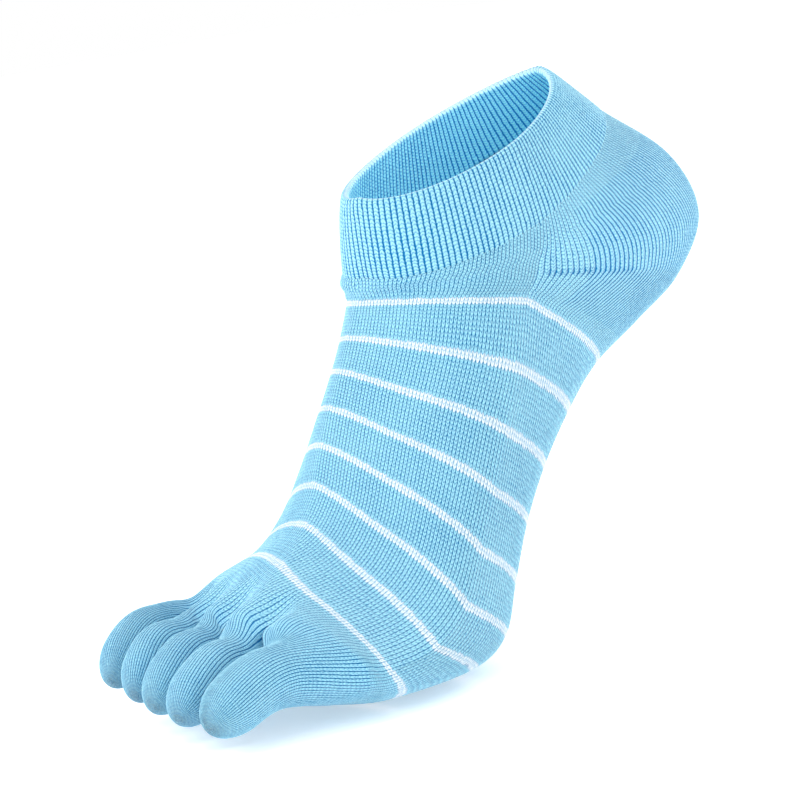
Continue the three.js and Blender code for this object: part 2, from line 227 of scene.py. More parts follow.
def quarter(s, side, lift, end, end_side, power):
    """From the fold to the ridge or the sole: across = cos(angle)^(2/power), along = sin(angle)^(2/power).
    A bent round runs straight between fold and end, a soft one follows a whole ellipse."""
    angle = np.linspace(0, np.pi / 2, QUARTER_STEPS + 1)[None, :]
    across = np.clip(np.cos(angle), 0, 1) ** (2 / power)
    along = np.sin(angle) ** (2 / power)
    x = end_side + (side - end_side) * across
    fold = {"ahead": s["fold_ahead"], "up": s["fold_up"] + lift}
    value = {}
    for way in ("ahead", "up"):
        finish = s[f"{end}_{way}"]
        middle = (s[f"top_{way}"] + s[f"sole_{way}"]) / 2
        bent = fold[way] + (finish - fold[way]) * along
        soft = middle + (finish - middle) * along + (fold[way] - middle) * across
        value[way] = bent + (soft - bent) * s["soft"]
    outwards = np.clip(s["crown"] - x, 0, None) / (s["crown"] - s["outer"])
    swept = s["turn"] * (x - s["crown"]) / (s["inner"] - s["outer"]) - s["sweep"] * outwards**SWEEP_POWER
    return placed(x, value["ahead"] + swept, value["up"])


def halves(position):
    """The two halves of each round, from the inner fold over the ridge and from the outer fold back."""
    s = sections_at(position)
    inner_top = quarter(s, s["inner"], 0, "top", s["crown"], s["inner_round"])
    outer_top = quarter(s, s["outer"], s["outer_lift"], "top", s["crown"], s["outer_round"])
    outer_sole = quarter(s, s["outer"], s["outer_lift"], "sole", 0, s["sole_round"])
    inner_sole = quarter(s, s["inner"], 0, "sole", 0, s["sole_round"])
    over = np.concatenate([inner_top, outer_top[:, -2::-1]], axis=1)
    under = np.concatenate([outer_sole, inner_sole[:, -2::-1]], axis=1)
    return over, under


def spread(path, share):
    """Points of each path at the given shares of its length, one row of shares a path."""
    steps = np.linalg.norm(np.diff(path, axis=1), axis=2)
    length = np.concatenate([np.zeros((len(path), 1)), np.cumsum(steps, axis=1)], axis=1)
    rows = [
        np.stack([np.interp(part * way[-1], way, line[:, k]) for k in range(3)], axis=-1)
        for line, way, part in zip(path, length, share)
    ]
    return np.array(rows)


# %% [markdown]
# ## The furrows between the toes and the turn of the wales at the heel
# Between two toes the back of the foot sinks in, first hardly at all and most at the web.
# The heel is knitted with short rows: the needles turn back and forth, and the wales meet along a line
# of small holes, where they change direction. In the table the rounds fan out around the heel, so the
# wales would go round it in even arcs. Widening them along the line of holes gives them their corner.
# The heel and the sole take more than half of the needles, because their half of the round is longer.

# %% The surface of the knit
WEB_SIDES = (0.156, -0.029, -0.202, -0.344)
FURROW_DEPTH = 4 * MM
FURROW_HALF_WIDTH = 4 * MM
GORE_POSITION = 3.9
GORE_REACH = 1.9
GORE_WIDENING = 0.55


def smoothstep(value, low, high):
    """0 below low, 1 above high, and 3 t^2 - 2 t^3 between them."""
    t = np.clip((value - low) / (high - low), 0, 1)
    return t * t * (3 - 2 * t)


def furrowed(points, position, over):
    """Lowers the ridge by a bell curve around each web, more and more towards the last section."""
    side = points[..., 0] + ORIGIN[0]
    sink = sum(np.exp(-(((side - web * BALL_WIDTH) / FURROW_HALF_WIDTH) ** 2)) for web in WEB_SIDES)
    fade = smoothstep(position, WEB - 1, WEB)[:, None]
    lowered = points.copy()
    lowered[..., 2] -= np.where(over, FURROW_DEPTH * fade * sink, 0)
    return lowered


def gored(share, position):
    """Moves shares of the lower half along it: share + widening * share * (1 - 2 share) * tent, mirrored,
    where the tent is 1 on the line of holes and falls to 0 on either side of it."""
    tent = np.clip(1 - np.abs(position - GORE_POSITION) / GORE_REACH, 0, 1)[:, None]
    near = np.minimum(share, 1 - share)
    moved = near + GORE_WIDENING * near * (1 - 2 * near) * tent
    return np.where(share < 0.5, moved, 1 - moved)


def knit_surface(position, wale, front_part):
    """Points for each position and each wale, given as a share of the round from 0 to 1. The front half of
    the round has the share front_part of the wales, and the heel or the sole has the rest."""
    over, under = halves(position)
    is_over = wale < front_part
    front_share = np.tile(wale[is_over] / front_part, (len(position), 1))
    back_share = np.tile((wale[~is_over] - front_part) / (1 - front_part), (len(position), 1))
    front = spread(over, front_share)
    back = spread(under, gored(back_share, position))
    points = np.concatenate([front, back], axis=1)
    past_fold = (wale > 0) & is_over
    return furrowed(points, position, past_fold[None, :])


def outward(points):
    """The direction out of the sock at each point: across the wales times along them."""
    across = np.roll(points, -1, axis=1) - np.roll(points, 1, axis=1)
    along = np.gradient(points, axis=0)
    normal = np.cross(across, along)
    return normal / np.linalg.norm(normal, axis=2, keepdims=True)


print("webs at", np.round(np.array(WEB_SIDES) * BALL_WIDTH / MM, 1), "mm from the middle line")

# %% [markdown]
# ## Walls
# Each piece is a closed wall, as the real knit is. Its outer face is a fine grid with three points on
# each wale, which makes real ribs, and its inner face has one point on each wale. Both faces are joined
# along every open edge. Cells can be left out, which leaves a window for another piece.
# The stitches are laid on with a UV map: x counts the wales and y counts the courses.
# A Solidify modifier could give the wall too, but then the ribs would show inside as well, and two
# pieces that meet would not share their edge. Such pieces also share the normals of their common grid,
# so that no seam shows in the shading.

# %% Helpers for walls
FINE = 3
IN_CREASE = 0.5


def cell_faces(ids, keep):
    """Four corners for each kept cell of a grid whose columns close into a ring."""
    right = np.roll(ids, -1, axis=1)
    corners = np.stack([ids[:-1], right[:-1], right[1:], ids[1:]], axis=-1)
    return corners[keep]


def cell_uv(wale_numbers, courses, keep):
    """The UV map's corners of the same cells. The last column reads one wale on, not back at the first."""
    step = wale_numbers[1] - wale_numbers[0]
    rows, columns = keep.shape
    u = np.broadcast_to(wale_numbers, (rows, columns))
    low, high = courses
    right_low = np.roll(low, -1, axis=1)
    right_high = np.roll(high, -1, axis=1)
    corners = [
        np.stack([u, low], axis=-1),
        np.stack([u + step, right_low], axis=-1),
        np.stack([u + step, right_high], axis=-1),
        np.stack([u, high], axis=-1),
    ]
    return np.stack(corners, axis=2)[keep]


def edge_faces(outer_ids, inner_ids, keep):
    """Faces that join both walls wherever a kept cell has no kept neighbour, along rows and columns."""
    rows, columns = keep.shape
    fine = [outer_ids[:, k::FINE] for k in range(FINE)]
    outer_next = np.roll(outer_ids[:, ::FINE], -1, axis=1)
    inner_next = np.roll(inner_ids, -1, axis=1)
    none = np.zeros((1, columns), dtype=bool)
    before = np.concatenate([none, keep[:-1]])
    after = np.concatenate([keep[1:], none])
    faces = []
    start = keep & ~before
    strip = [outer_next[:-1]] + [ids[:-1] for ids in fine[::-1]] + [inner_ids[:-1], inner_next[:-1]]
    faces += np.stack(strip, axis=-1)[start].tolist()
    end = keep & ~after
    strip = [ids[1:] for ids in fine] + [outer_next[1:], inner_next[1:], inner_ids[1:]]
    faces += np.stack(strip, axis=-1)[end].tolist()
    left = keep & ~np.roll(keep, 1, axis=1)
    strip = [fine[0][:-1], fine[0][1:], inner_ids[1:], inner_ids[:-1]]
    faces += np.stack(strip, axis=-1)[left].tolist()
    right = keep & ~np.roll(keep, -1, axis=1)
    strip = [outer_next[1:], outer_next[:-1], inner_next[:-1], inner_next[1:]]
    faces += np.stack(strip, axis=-1)[right].tolist()
    return faces


def tip_faces(ring, tip, turned):
    """Triangles from the last ring of a closed toe to its one tip point."""
    after = np.roll(ring, -1)
    tips = np.full_like(ring, tip)
    order = [after, ring, tips] if turned else [ring, after, tips]
    return np.stack(order, axis=-1)


print("helpers for walls ready,", FINE, "points a wale on the outer face")

# %% [markdown]
# ## From arrays to meshes
# Faces could be added one by one, but that is slow, so whole arrays go into the mesh at once. One
# function does that for every piece, and another first joins two grids to a closed wall.

# %% The builders of meshes and of closed walls
def make_piece(name, points, faces, uv, smooth_count, normals=None):
    """Puts numpy arrays into a mesh: only used points stay, the first faces are smooth, the rest flat."""
    sizes = np.array([len(face) for face in faces])
    flat_list = np.concatenate([np.asarray(face) for face in faces])
    used, flat_ids = np.unique(flat_list, return_inverse=True)
    mesh = bpy.data.meshes.new(name)
    mesh.vertices.add(len(used))
    mesh.vertices.foreach_set("co", points[used].ravel())
    mesh.loops.add(len(flat_ids))
    mesh.loops.foreach_set("vertex_index", flat_ids.astype(np.int32))
    mesh.polygons.add(len(sizes))
    starts = np.concatenate([[0], np.cumsum(sizes)[:-1]])
    mesh.polygons.foreach_set("loop_start", starts.astype(np.int32))
    mesh.update(calc_edges=True)
    mesh.polygons.foreach_set("use_smooth", np.arange(len(sizes)) < smooth_count)
    layer = mesh.uv_layers.new(name="stitches")
    layer.data.foreach_set("uv", uv.ravel())
    mesh.validate()
    if normals is not None:
        mesh.normals_split_custom_set_from_vertices(normals[used])
    piece = bpy.data.objects.new(name, mesh)
    bpy.context.collection.objects.link(piece)
    print(name, len(used), "points,", int((sizes - 2).sum()), "triangles")
    return piece


def wall_piece(name, outer, inner, keep, wale_numbers, courses, tips=None):
    """A closed wall of a fine outer grid, an inner grid with every third point, and their open edges.
    courses holds the counts at the lower and at the upper corners of every cell of the fine grid."""
    outer_ids = np.arange(outer.shape[0] * outer.shape[1]).reshape(outer.shape[:2])
    inner_ids = outer_ids.size + np.arange(inner.shape[0] * inner.shape[1]).reshape(inner.shape[:2])
    points = np.concatenate([outer.reshape(-1, 3), inner.reshape(-1, 3)])
    fine_keep = np.repeat(keep, FINE, axis=1)
    outer_faces = cell_faces(outer_ids, fine_keep)
    outer_uv = cell_uv(wale_numbers, courses, fine_keep)
    inner_faces = cell_faces(inner_ids, keep)[:, ::-1]
    coarse = [count[:, ::FINE] for count in courses]
    inner_uv = cell_uv(wale_numbers[::FINE], coarse, keep)[:, ::-1]
    faces = outer_faces.tolist() + inner_faces.tolist()
    uv = [outer_uv.reshape(-1, 2), inner_uv.reshape(-1, 2)]
    if tips is not None:
        outer_tip = len(points)
        points = np.concatenate([points, tips])
        outer_cap = tip_faces(outer_ids[-1], outer_tip, False)
        inner_cap = tip_faces(inner_ids[-1], outer_tip + 1, True)
        faces += outer_cap.tolist() + inner_cap.tolist()
        cap_course = courses[1][-1].max()
        caps = np.full(((len(outer_cap) + len(inner_cap)) * 3, 2), IN_CREASE)
        caps[:, 1] = cap_course
        uv.append(caps)
    smooth_count = len(faces)
    edges = edge_faces(outer_ids, inner_ids, keep)
    if tips is not None:
        last_row = set(outer_ids[-1].tolist())
        edges = [face for face in edges if not last_row.issuperset(face[:2])]
    faces += edges
    corner_count = sum(len(face) for face in edges)
    uv.append(np.full((corner_count, 2), courses[0][0, 0]))
    normals = np.concatenate([outward(outer).reshape(-1, 3), -outward(inner).reshape(-1, 3)])
    if tips is not None:
        along = tips[:1] - tips[1:]
        along /= np.linalg.norm(along)
        normals = np.concatenate([normals, along, -along])
    return make_piece(name, points, faces, np.concatenate(uv), smooth_count, normals)


print("builders ready")

# %% [markdown]
# ## The foot tube and the heel pocket
# The plain knit runs from the cuff to the webs. It is made in two pieces that meet edge to edge, as on
# the needles: the tube, and the pocket that the short rows add behind and under the heel. Both read
# their points from one grid, so that ribs and stitches run on from one to the other.
# Of its 200 wales 84 run over the front, and the others go round the heel and under the sole.
# The knit is a little thinner than the cuff, and each groove between two wales is a real groove.
# Cloth draped over a foot would give the form as well, but no count of the stitches.
# The stripes follow the count of the courses. On the outer side of the ridge the courses of the real
# sock rise a little once more, which a lead of a few courses imitates there.

# %% The grid of the plain knit
WALES = 200
FRONT_WALES = 84
COURSES_BETWEEN_STRIPES = 12
COURSE_HEIGHT = 0.9 * MM
KNIT_THICKNESS = 1.4 * MM
GROOVE_DEPTH = 0.16 * MM
HEEL_ROWS = 12
FOOT_ROWS = 8
POCKET_WALES = (94, 190)
POCKET_POSITIONS = (1.5, 5.5)
LEAD_UPPER = 4.5
LEAD_LOWER = 3
LEAD_LENGTH = 2
LEAD_RISE = (0.3, 0.8)
LEAD_FALL = (0.85, 1.0)

heel_part = np.linspace(CUFF_FOOT, FIRST_STRIPE, (FIRST_STRIPE - CUFF_FOOT) * HEEL_ROWS + 1)
foot_part = np.linspace(FIRST_STRIPE, WEB, (WEB - FIRST_STRIPE) * FOOT_ROWS + 1)
row_positions = np.concatenate([heel_part, foot_part[1:]])
wale_numbers = np.arange(WALES * FINE) / FINE
tube_points = knit_surface(row_positions, wale_numbers / WALES, FRONT_WALES / WALES)
tube_normals = outward(tube_points)


def ribs(numbers, depth):
    """How far a point stands out: depth * (1 - cos(2 pi wale)) / 2, less half the depth."""
    return depth * (0.5 - 0.5 * np.cos(2 * np.pi * numbers)) - depth / 2


def stripe_lead(positions, numbers):
    """How many courses the stripes run ahead on the outer side of the ridge, where they rise once more:
    a smooth hill across the front wales times two smooth steps along the foot."""
    front_share = numbers / FRONT_WALES
    hill = smoothstep(front_share, *LEAD_RISE) * (1 - smoothstep(front_share, *LEAD_FALL))
    early = LEAD_UPPER * smoothstep(positions, FIRST_STRIPE, FIRST_STRIPE + LEAD_LENGTH)
    late = LEAD_LOWER * smoothstep(positions, LAST_STRIPE - LEAD_LENGTH, LAST_STRIPE)
    return (early + late)[:, None] * hill[None, :]


def course_counts(points, positions, numbers):
    """Courses at every point of the grid, as counted from above and from below the line of holes.
    Between stripes the count follows the rounds. Above them it follows the length of each wale."""
    step = np.linalg.norm(np.diff(points, axis=0), axis=2) / COURSE_HEIGHT
    length = np.concatenate([np.zeros((1, points.shape[1])), np.cumsum(step, axis=0)])
    at_stripe = length[np.argmin(np.abs(positions - FIRST_STRIPE))]
    by_round = COURSES_BETWEEN_STRIPES * (positions - FIRST_STRIPE)[:, None]
    by_round = by_round + stripe_lead(positions, numbers)
    below = np.where(positions[:, None] < FIRST_STRIPE, length - at_stripe, by_round)
    above = length - math.ceil(at_stripe.max())
    return above, below


above, below = course_counts(tube_points, row_positions, wale_numbers)
is_upper = (row_positions[:-1] < GORE_POSITION)[:, None]
courses = (np.where(is_upper, above[:-1], below[:-1]), np.where(is_upper, above[1:], below[1:]))
outer_knit = tube_points + tube_normals * ribs(wale_numbers, GROOVE_DEPTH)[None, :, None]
inner_knit = (tube_points - tube_normals * KNIT_THICKNESS)[:, ::FINE]
print("grid of", outer_knit.shape[0], "rows by", outer_knit.shape[1], "points")

# %% [markdown]
# ## The tube and its pocket
# The pocket's cells are left out of the tube, and the pocket is made of just those cells. A Boolean cut
# would give the same window, but with torn stitches along its edge.

# %% The foot tube and its heel pocket
cell_positions = (row_positions[:-1] + row_positions[1:]) / 2
cell_wales = np.arange(WALES)
in_pocket = (
    ((cell_positions > POCKET_POSITIONS[0]) & (cell_positions < POCKET_POSITIONS[1]))[:, None]
    & ((cell_wales >= POCKET_WALES[0]) & (cell_wales < POCKET_WALES[1]))[None, :]
)
foot_tube = wall_piece("foot_tube_knit", outer_knit, inner_knit, ~in_pocket, wale_numbers, courses)
heel_pocket = wall_piece("heel_pocket_knit", outer_knit, inner_knit, in_pocket, wale_numbers, courses)

# %% [markdown]
# ## The cuff
# The cuff is knitted double and folded over, so its rim is a thin roll. It is a mesh rib: its wales
# stand out more than in the plain knit, inside as well as outside, and it bulges a little.
# A band could be thickened with Solidify and its edge rounded with Bevel. Here a profile is carried
# round the opening instead: up the outside, over the roll and down the inside, so that both faces, the
# roll and the ribs are one grid. Each point of the profile has a place down the cuff and a depth into
# the wall. The lowest row is lifted by a hair, so that it doesn't lie on the first row of the knit.

# %% The cuff
CUFF_WALES = 144
CUFF_FRONT = 0.46
CUFF_THICKNESS = 2 * MM
CUFF_SWELL = 0.5 * MM
CUFF_GROOVE = 0.34 * MM
CUFF_ROWS = 26
ROLL_STEPS = 10
ROLL_RADIUS = CUFF_THICKNESS / 2
SEAM_STEP = 0.02 * MM


def cuff_grid():
    """Depths into the wall: -swell * sqrt(sin(pi down)) outside, radius * (1 - cos(turn)) over the rim and
    the thickness inside. The ribs stand out on both sides and fade to nothing on top of the roll."""
    down = np.linspace(1, 0, CUFF_ROWS)
    turn = np.linspace(0, np.pi, ROLL_STEPS + 2)[1:-1]
    place = np.concatenate([down, np.zeros(ROLL_STEPS), down[::-1]])
    swell = CUFF_SWELL * np.sqrt(np.sin(np.pi * down))
    inside = np.full(CUFF_ROWS, CUFF_THICKNESS)
    depth = np.concatenate([-swell, ROLL_RADIUS * (1 - np.cos(turn)), inside])[:, None]
    rise = np.concatenate([0 * down, ROLL_RADIUS * np.sin(turn), 0 * down])
    rise += np.where(place == 1, SEAM_STEP, 0)
    numbers = np.arange(CUFF_WALES * FINE) / FINE
    base = knit_surface(np.linspace(RIM, CUFF_FOOT, CUFF_ROWS), numbers / CUFF_WALES, CUFF_FRONT)
    normal = outward(base)
    up = -np.gradient(base, axis=0)
    up /= np.linalg.norm(up, axis=2, keepdims=True)
    row = np.round(place * (CUFF_ROWS - 1)).astype(int)
    relief = ribs(numbers, CUFF_GROOVE)[None, :] * np.abs(np.cos(np.pi * depth / CUFF_THICKNESS))
    offset = np.where(depth > ROLL_RADIUS, -relief, relief) - depth
    return base[row] + normal[row] * offset[..., None] + up[row] * rise[:, None, None], numbers


cuff_points, cuff_numbers = cuff_grid()


def ring_piece(name, points, numbers):
    """A wall whose profile closes on itself: rows and columns both close into rings."""
    ids = np.arange(points.shape[0] * points.shape[1]).reshape(points.shape[:2])
    ids = np.concatenate([ids, ids[:1]])
    closed = np.concatenate([points, points[:1]])
    step = np.linalg.norm(np.diff(closed, axis=0), axis=2).mean(axis=1) / COURSE_HEIGHT
    count = np.concatenate([[0], np.cumsum(step)])[:, None] + np.zeros((1, points.shape[1]))
    keep = np.ones((points.shape[0], points.shape[1]), dtype=bool)
    faces = cell_faces(ids, keep)[:, ::-1]
    uv = cell_uv(numbers, (count[:-1], count[1:]), keep)[:, ::-1]
    return make_piece(name, points.reshape(-1, 3), faces.tolist(), uv.reshape(-1, 2), len(faces))


cuff = ring_piece("cuff_rib", cuff_points, cuff_numbers)

# %% [markdown]
# ## The toes
# Each toe is a tube of its own that grows out of the last round. Its wales are those of the foot tube
# between two webs, over and under, and a few new ones that start at the webs on its sides.
# The tube starts in the direction of the foot tube, so that no crease shows, and then takes its own
# oval shape, over the knuckle and down to the rounded tip, where the wales run together.
# The table gives each toe's knuckle and tip, and half of its width and depth at both.

# %% The table of toes
TOE_COLUMNS = (
    "knuckle_ahead", "knuckle_side", "knuckle_up", "tip_ahead", "tip_side", "tip_up",
    "knuckle_width", "knuckle_depth", "tip_width", "tip_depth",
)
TOES = {
    "big_toe": (0.187, 0.272, 0.096, 0.276, 0.276, 0.05, 0.094, 0.087, 0.08, 0.079),
    "second_toe": (0.18, 0.077, 0.107, 0.26, 0.118, 0.056, 0.075, 0.081, 0.071, 0.072),
    "third_toe": (0.156, -0.09, 0.117, 0.237, -0.037, 0.064, 0.07, 0.079, 0.066, 0.07),
    "fourth_toe": (0.137, -0.248, 0.125, 0.208, -0.184, 0.07, 0.065, 0.077, 0.062, 0.068),
    "little_toe": (0.1, -0.41, 0.137, 0.183, -0.344, 0.084, 0.066, 0.075, 0.064, 0.068),
}
SIDE_WALES = 9
TOE_ROWS = 40
CAP_ROWS = 16
ROOT_BLEND = 0.4
KNUCKLE_STEP = 0.5
CAP_START = 0.74
SMALL_STEP = 1e-3
CAP_END = math.radians(89)
print(len(TOES), "toes")

# %% [markdown]
# ## Where a toe begins
# The wales that lie between two webs go on into the toe, some on its back and some under it. At each
# web the knitter picks up a few new wales, which close the gap at the toe's side. Each column of the toe
# is told its angle around the toe here, so that wales over the knuckle stay over the knuckle.

# %% The root of a toe
web_x = [web * BALL_WIDTH - ORIGIN[0] for web in WEB_SIDES]
last_round = tube_points[-1]
last_along = tube_points[-1] - tube_points[-2]
last_along /= np.linalg.norm(last_along, axis=1, keepdims=True)
forward = last_along.mean(axis=0)
forward /= np.linalg.norm(forward)
half = FRONT_WALES * FINE


def wale_at(x, under):
    """The number of the wale of the last round, over or under, that lies nearest to a web."""
    stretch = last_round[half:, 0] if under else last_round[:half, 0]
    nearest = int(np.argmin(np.abs(stretch - x))) + (half if under else 0)
    return int(round(nearest / FINE))


def toe_root(k):
    """Columns of the last round that a toe takes over, with straight columns at its webs.
    Returns the points, the directions they start in, their wale numbers and the toe's angles."""
    has_inner = k > 0
    has_outer = k < len(web_x)
    first_over = wale_at(web_x[k - 1], False) if has_inner else 0
    last_over = wale_at(web_x[k], False) if has_outer else FRONT_WALES
    first_under = wale_at(web_x[k], True) if has_outer else FRONT_WALES
    last_under = wale_at(web_x[k - 1], True) if has_inner else WALES
    over = np.arange(first_over * FINE, last_over * FINE + 1)
    under = np.arange(first_under * FINE, last_under * FINE + 1) % (WALES * FINE)
    parts = [(last_round[over], last_along[over])]
    if has_outer:
        parts.append(web_column(over[-1], under[0]))
        parts.append((last_round[under], last_along[under]))
    else:
        parts.append((last_round[under[1:]], last_along[under[1:]]))
    if has_inner:
        parts.append(web_column(under[-1], over[0]))
    points = np.concatenate([part[0] for part in parts])
    directions = np.concatenate([part[1] for part in parts])
    if not has_inner:
        points, directions = points[:-1], directions[:-1]
    numbers = first_over + np.arange(len(points)) / FINE
    over_middle = (len(over) - 1) / 2
    under_start = len(over) - 1 + (SIDE_WALES * FINE if has_outer else 0)
    under_middle = under_start + (len(under) - 1) / 2
    index = np.arange(len(points))
    angle = np.interp(
        index,
        [under_middle - len(points), over_middle, under_middle, over_middle + len(points)],
        [-np.pi / 2, np.pi / 2, 3 * np.pi / 2, 5 * np.pi / 2],
    )
    return points, directions, numbers, angle


def web_column(start, end):
    """Points on a straight line between two points of the last round, without the two themselves."""
    share = np.linspace(0, 1, SIDE_WALES * FINE + 1)[1:-1, None]
    points = last_round[start] * (1 - share) + last_round[end] * share
    return points, np.tile(forward, (len(points), 1))


print("webs cut at wales", [wale_at(x, False) for x in web_x])

# %% [markdown]
# ## From the root to the tip
# A toe could be a bent cylinder, but its root is no circle: it is a part of the last round. So the
# root's own outline is carried forward and mixed with the toe's oval, little by little. The oval's
# middle follows a curve over the knuckle, and at the tip it narrows like a half ball.

# %% The toes
def toe_path(centre, knuckle, tip, t):
    """A Catmull-Rom curve through the root's middle, the knuckle and the tip."""
    return between_rows(np.array([centre, knuckle, tip]), t * 2)


def toe_grid(k, toe):
    """Each point leaves its root in the root's direction and blends into the toe's own oval:
    root + way + (start - way's start) * t (1 - t / blend)^2, mixed with middle + cos, sin of its angle."""
    points, directions, numbers, angle = toe_root(k)
    centre = points.mean(axis=0)
    knuckle = placed(toe["knuckle_side"], toe["knuckle_ahead"], toe["knuckle_up"])
    tip = placed(toe["tip_side"], toe["tip_ahead"], toe["tip_up"])
    straight = np.linspace(0, CAP_START, TOE_ROWS + 1)
    cap_angle = np.linspace(0, CAP_END, CAP_ROWS + 1)[1:]
    t = np.concatenate([straight, CAP_START + (1 - CAP_START) * np.sin(cap_angle)])
    narrow = np.concatenate([np.ones(TOE_ROWS + 1), np.cos(cap_angle)])
    middle = toe_path(centre, knuckle, tip, t)
    ahead = toe_path(centre, knuckle, tip, t + SMALL_STEP) - toe_path(centre, knuckle, tip, t - SMALL_STEP)
    ahead /= np.linalg.norm(ahead, axis=1, keepdims=True)
    sideways = np.stack([-ahead[:, 1], ahead[:, 0], 0 * t], axis=1)
    sideways /= np.linalg.norm(sideways, axis=1, keepdims=True)
    upward = np.cross(ahead, sideways)
    late = np.clip(t - KNUCKLE_STEP, 0, None) / (1 - KNUCKLE_STEP)
    width = (toe["knuckle_width"] + (toe["tip_width"] - toe["knuckle_width"]) * late) * BALL_WIDTH * narrow
    depth = (toe["knuckle_depth"] + (toe["tip_depth"] - toe["knuckle_depth"]) * late) * BALL_WIDTH * narrow
    across = sideways[:, None] * (width[:, None] * np.cos(angle)[None, :])[..., None]
    upwards = upward[:, None] * (depth[:, None] * np.sin(angle)[None, :])[..., None]
    own = middle[:, None] + across + upwards
    first = toe_path(centre, knuckle, tip, np.array([SMALL_STEP]))[0] - centre
    speed = np.linalg.norm(first) / SMALL_STEP
    start = directions * speed - first / SMALL_STEP
    bend = np.where(t < ROOT_BLEND, t * (1 - t / ROOT_BLEND) ** 2, 0)
    carried = points[None] + (middle - centre)[:, None] + start[None] * bend[:, None, None]
    blend = smoothstep(t, 0, ROOT_BLEND)[:, None, None]
    return carried + (own - carried) * blend, numbers, tip, ahead[-1], narrow


def toe_piece(k, name):
    """The grid of a toe with its ribs, its inner wall and its closed tip."""
    toe = dict(zip(TOE_COLUMNS, TOES[name]))
    grid, numbers, tip, ahead, tip_fade = toe_grid(k, toe)
    normal = outward(grid)
    step = np.linalg.norm(np.diff(grid, axis=0), axis=2).mean(axis=1) / COURSE_HEIGHT
    last_course = COURSES_BETWEEN_STRIPES * (WEB - FIRST_STRIPE)
    count = (last_course + np.concatenate([[0], np.cumsum(step)]))[:, None] + 0 * numbers[None, :]
    relief = ribs(numbers, GROOVE_DEPTH)[None, :] * tip_fade[:, None]
    outer = grid + normal * relief[..., None]
    inner = (grid - normal * KNIT_THICKNESS)[:, ::FINE]
    keep = np.ones((grid.shape[0] - 1, grid.shape[1] // FINE), dtype=bool)
    tips = np.array([tip, tip - ahead * KNIT_THICKNESS])
    return wall_piece(f"{name}_knit", outer, inner, keep, numbers, (count[:-1], count[1:]), tips)


toes = {name: toe_piece(k, name) for k, name in enumerate(TOES)}

# %% [markdown]
# ## Writing shader maths as sums
# A stitch pattern is a formula, and wiring it by hand takes dozens of nodes. A small class wraps one
# output of a node, so that +, -, *, / and ** on it add the Math nodes, and numbers stay plain numbers.

# %% A socket that can be calculated with
class Value:
    """One output of a shader node. Operators on it make Math nodes in the same tree."""

    def __init__(self, shader, socket):
        self.shader = shader
        self.socket = socket

    def math(self, operation, *others):
        return self.shader.node("ShaderNodeMath", {"operation": operation}, [self, *others])

    def __add__(self, other):
        return self.math("ADD", other)

    def __mul__(self, other):
        return self.math("MULTIPLY", other)

    def __sub__(self, other):
        return self.math("SUBTRACT", other)

    def __rsub__(self, other):
        return self.shader.node("ShaderNodeMath", {"operation": "SUBTRACT"}, [other, self])

    def __truediv__(self, other):
        return self.math("DIVIDE", other)

    def __pow__(self, other):
        return self.math("POWER", other)

    def __lt__(self, other):
        return self.math("LESS_THAN", other)

    def __gt__(self, other):
        return self.math("GREATER_THAN", other)

    __radd__ = __add__
    __rmul__ = __mul__

    def fract(self):
        return self.math("FRACT")

    def absolute(self):
        return self.math("ABSOLUTE")

    def clamped(self):
        return self.math("MINIMUM", 1).math("MAXIMUM", 0)


class Shader:
    """A material's node tree with one method that adds any node."""

    def __init__(self, name):
        self.material = bpy.data.materials.new(name)
        self.material.use_nodes = True
        self.tree = self.material.node_tree
        self.tree.nodes.clear()

    def node(self, kind, settings=None, inputs=None, output=0):
        """Adds a node: its settings first, then values or links by socket name or in order."""
        made = self.tree.nodes.new(kind)
        for key, setting in (settings or {}).items():
            setattr(made, key, setting)
        pairs = inputs.items() if isinstance(inputs, dict) else enumerate(inputs or [])
        for key, value in pairs:
            if isinstance(value, Value):
                self.tree.links.new(value.socket, made.inputs[key])
            else:
                made.inputs[key].default_value = value
        return Value(self, made.outputs[output]) if made.outputs else None

    def mix(self, share, first, second, blend="MIX"):
        """Mixes two colours through a Mix node."""
        settings = {"data_type": "RGBA", "blend_type": blend}
        return self.node("ShaderNodeMix", settings, {0: share, 6: first, 7: second}, output=2)

    def finish(self, surface):
        """Links a surface to the output and gives back the material."""
        self.node("ShaderNodeOutputMaterial", None, {"Surface": surface})
        return self.material


print("shader tools ready")

# %% [markdown]
# ## The yarn and its stitches
# Each stitch shows as two short legs that lean towards each other, like a V. Across a wale the legs run
# from the middle crease out to the groove, and up the wale they follow each other course by course.
# The same formula gives a height for the bump and a shade for the colour: the hollow spots between the
# legs are darker, because hardly any light gets out of them. Cotton has fine fuzz, which sheen imitates,
# and no two stitches are pulled alike, so a little noise shifts the pattern.
# An image of the knit could be wrapped on, but it would stretch at the heel and at the toes. A formula
# on the counted wales and courses keeps every stitch as wide as its wale.

# %% The stitches
STITCH_BUMP = 0.35 * MM
WOBBLE = {"Scale": 700, "Detail": 1}
WALE_WOBBLE = 0.28
COURSE_WOBBLE = 1.0


